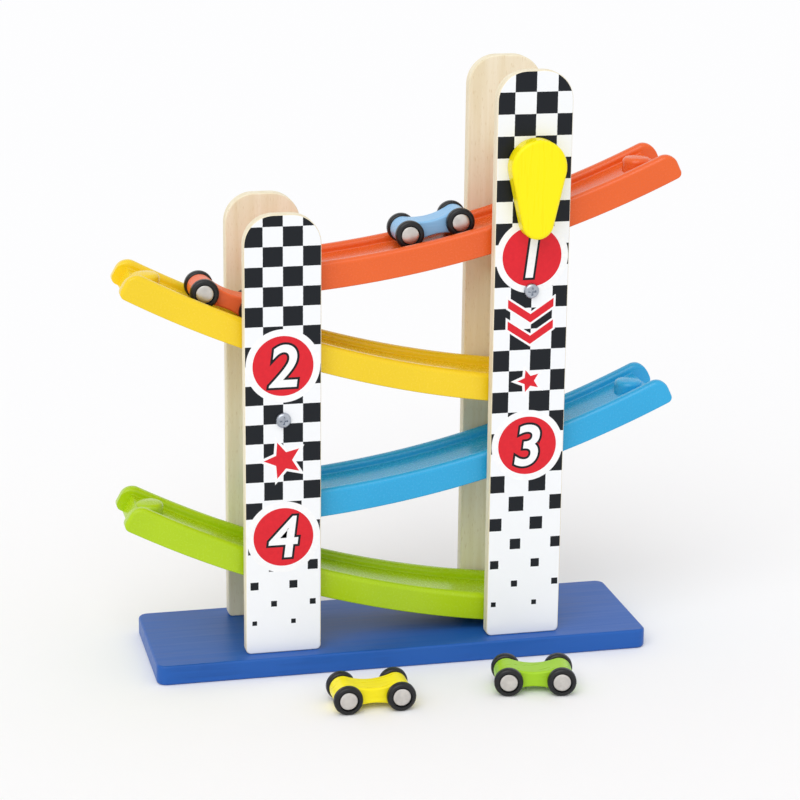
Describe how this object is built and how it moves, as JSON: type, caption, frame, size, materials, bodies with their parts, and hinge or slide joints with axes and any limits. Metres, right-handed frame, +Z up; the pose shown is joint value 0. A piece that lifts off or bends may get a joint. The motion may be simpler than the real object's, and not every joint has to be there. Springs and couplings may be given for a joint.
{
  "type": "click clack track toy",
  "caption": "Wooden tower with zigzag curved tracks for small rolling cars, a swinging start lever, checkered posts and a flat base board.",
  "frame": {"origin": "middle of the base board's underside, on the ground", "axes": "+Z up, +X to the right as seen from the printed side, +Y away from that side"},
  "size_m": [0.3322, 0.1551, 0.354],
  "materials": {
    "blue_paint": "satin paint",
    "printed_wood": "white print on wood",
    "pale_wood": "clear satin",
    "orange_plastic": "gloss moulded",
    "yellow_plastic": "gloss moulded",
    "blue_plastic": "gloss moulded",
    "green_plastic": "gloss moulded",
    "zinc": "zinc plated",
    "steel": "bright plated",
    "yellow_paint": "gloss paint",
    "blue_car_paint": "gloss paint",
    "orange_car_paint": "gloss paint",
    "yellow_car_paint": "gloss paint",
    "green_car_paint": "gloss paint",
    "black_plastic": "satin moulded"
  },
  "bodies": {
    "frame": {"base_board": "blue_paint", "post_short_front": "printed_wood", "post_short_back": "pale_wood", "post_tall_front": "printed_wood", "post_tall_back": "pale_wood", "track_orange": "orange_plastic", "track_yellow": "yellow_plastic", "track_blue": "blue_plastic", "track_green": "green_plastic", "spacer_short": "pale_wood", "spacer_tall": "pale_wood", "tie_screws_front": "zinc", "tie_screws_back": "zinc", "base_screws": "zinc"},
    "starter": {"start_lever": "yellow_paint", "lever_shaft": "pale_wood", "start_gate": "pale_wood"},
    "blue_car": {"blue_car_body": "blue_car_paint", "blue_car_pins": "steel"},
    "blue_wheel_lf": {"blue_car_wheel_lf": "black_plastic"},
    "blue_wheel_rf": {"blue_car_wheel_rf": "black_plastic"},
    "blue_wheel_lb": {"blue_car_wheel_lb": "black_plastic"},
    "blue_wheel_rb": {"blue_car_wheel_rb": "black_plastic"},
    "orange_car": {"orange_car_body": "orange_car_paint", "orange_car_pins": "steel"},
    "orange_wheel_lf": {"orange_car_wheel_lf": "black_plastic"},
    "orange_wheel_rf": {"orange_car_wheel_rf": "black_plastic"},
    "orange_wheel_lb": {"orange_car_wheel_lb": "black_plastic"},
    "orange_wheel_rb": {"orange_car_wheel_rb": "black_plastic"},
    "yellow_car": {"yellow_car_body": "yellow_car_paint", "yellow_car_pins": "steel"},
    "yellow_wheel_lf": {"yellow_car_wheel_lf": "black_plastic"},
    "yellow_wheel_rf": {"yellow_car_wheel_rf": "black_plastic"},
    "yellow_wheel_lb": {"yellow_car_wheel_lb": "black_plastic"},
    "yellow_wheel_rb": {"yellow_car_wheel_rb": "black_plastic"},
    "green_car": {"green_car_body": "green_car_paint", "green_car_pins": "steel"},
    "green_wheel_lf": {"green_car_wheel_lf": "black_plastic"},
    "green_wheel_rf": {"green_car_wheel_rf": "black_plastic"},
    "green_wheel_lb": {"green_car_wheel_lb": "black_plastic"},
    "green_wheel_rb": {"green_car_wheel_rb": "black_plastic"}
  },
  "joints": [
    {"name": "lever_turn", "type": "hinge", "parent": "frame", "child": "starter", "pos_m": [0.0735, 0, 0.2995], "axis": [0, 1, 0], "continuous": true},
    {"name": "blue_car_run", "type": "hinge", "parent": "frame", "child": "blue_car", "pos_m": [-0.10573, 0, 0.86048], "axis": [0, 1, 0], "range_deg": [-1.2, 7]},
    {"name": "blue_wheel_lf_spin", "type": "hinge", "parent": "blue_car", "child": "blue_wheel_lf", "pos_m": [0.00634, -0.0113, 0.25608], "axis": [0, 1, 0], "continuous": true},
    {"name": "blue_wheel_rf_spin", "type": "hinge", "parent": "blue_car", "child": "blue_wheel_rf", "pos_m": [0.03666, -0.0113, 0.2625], "axis": [0, 1, 0], "continuous": true},
    {"name": "blue_wheel_lb_spin", "type": "hinge", "parent": "blue_car", "child": "blue_wheel_lb", "pos_m": [0.00634, 0.0113, 0.25608], "axis": [0, 1, 0], "continuous": true},
    {"name": "blue_wheel_rb_spin", "type": "hinge", "parent": "blue_car", "child": "blue_wheel_rb", "pos_m": [0.03666, 0.0113, 0.2625], "axis": [0, 1, 0], "continuous": true},
    {"name": "orange_car_run", "type": "hinge", "parent": "frame", "child": "orange_car", "pos_m": [0.14129, 0, 0.78517], "axis": [0, 1, 0], "range_deg": [-15, 1.5]},
    {"name": "orange_wheel_lf_spin", "type": "hinge", "parent": "orange_car", "child": "orange_wheel_lf", "pos_m": [-0.11475, -0.0113, 0.22633], "axis": [0, 1, 0], "continuous": true},
    {"name": "orange_wheel_rf_spin", "type": "hinge", "parent": "orange_car", "child": "orange_wheel_rf", "pos_m": [-0.08625, -0.0113, 0.21413], "axis": [0, 1, 0], "continuous": true},
    {"name": "orange_wheel_lb_spin", "type": "hinge", "parent": "orange_car", "child": "orange_wheel_lb", "pos_m": [-0.11475, 0.0113, 0.22633], "axis": [0, 1, 0], "continuous": true},
    {"name": "orange_wheel_rb_spin", "type": "hinge", "parent": "orange_car", "child": "orange_wheel_rb", "pos_m": [-0.08625, 0.0113, 0.21413], "axis": [0, 1, 0], "continuous": true},
    {"name": "yellow_car_roll", "type": "slide", "parent": "frame", "child": "yellow_car", "axis": [0.9999, -0.0105, 0], "range_m": [-0.06, 0.02]},
    {"name": "yellow_wheel_lf_spin", "type": "hinge", "parent": "yellow_car", "child": "yellow_wheel_lf", "pos_m": [-0.04962, -0.10714, 0.0085], "axis": [0.0105, 0.9999, 0], "continuous": true},
    {"name": "yellow_wheel_rf_spin", "type": "hinge", "parent": "yellow_car", "child": "yellow_wheel_rf", "pos_m": [-0.01862, -0.10746, 0.0085], "axis": [0.0105, 0.9999, 0], "continuous": true},
    {"name": "yellow_wheel_lb_spin", "type": "hinge", "parent": "yellow_car", "child": "yellow_wheel_lb", "pos_m": [-0.04938, -0.08454, 0.0085], "axis": [0.0105, 0.9999, 0], "continuous": true},
    {"name": "yellow_wheel_rb_spin", "type": "hinge", "parent": "yellow_car", "child": "yellow_wheel_rb", "pos_m": [-0.01838, -0.08486, 0.0085], "axis": [0.0105, 0.9999, 0], "continuous": true},
    {"name": "green_car_roll", "type": "slide", "parent": "frame", "child": "green_car", "axis": [0.9823, -0.1874, 0], "range_m": [-0.02, 0.06]},
    {"name": "green_wheel_lf_spin", "type": "hinge", "parent": "green_car", "child": "green_wheel_lf", "pos_m": [0.04716, -0.0997, 0.0085], "axis": [0.1874, 0.9823, 0], "continuous": true},
    {"name": "green_wheel_rf_spin", "type": "hinge", "parent": "green_car", "child": "green_wheel_rf", "pos_m": [0.07761, -0.1055, 0.0085], "axis": [0.1874, 0.9823, 0], "continuous": true},
    {"name": "green_wheel_lb_spin", "type": "hinge", "parent": "green_car", "child": "green_wheel_lb", "pos_m": [0.05139, -0.0775, 0.0085], "axis": [0.1874, 0.9823, 0], "continuous": true},
    {"name": "green_wheel_rb_spin", "type": "hinge", "parent": "green_car", "child": "green_wheel_rb", "pos_m": [0.08184, -0.08331, 0.0085], "axis": [0.1874, 0.9823, 0], "continuous": true}
  ]
}
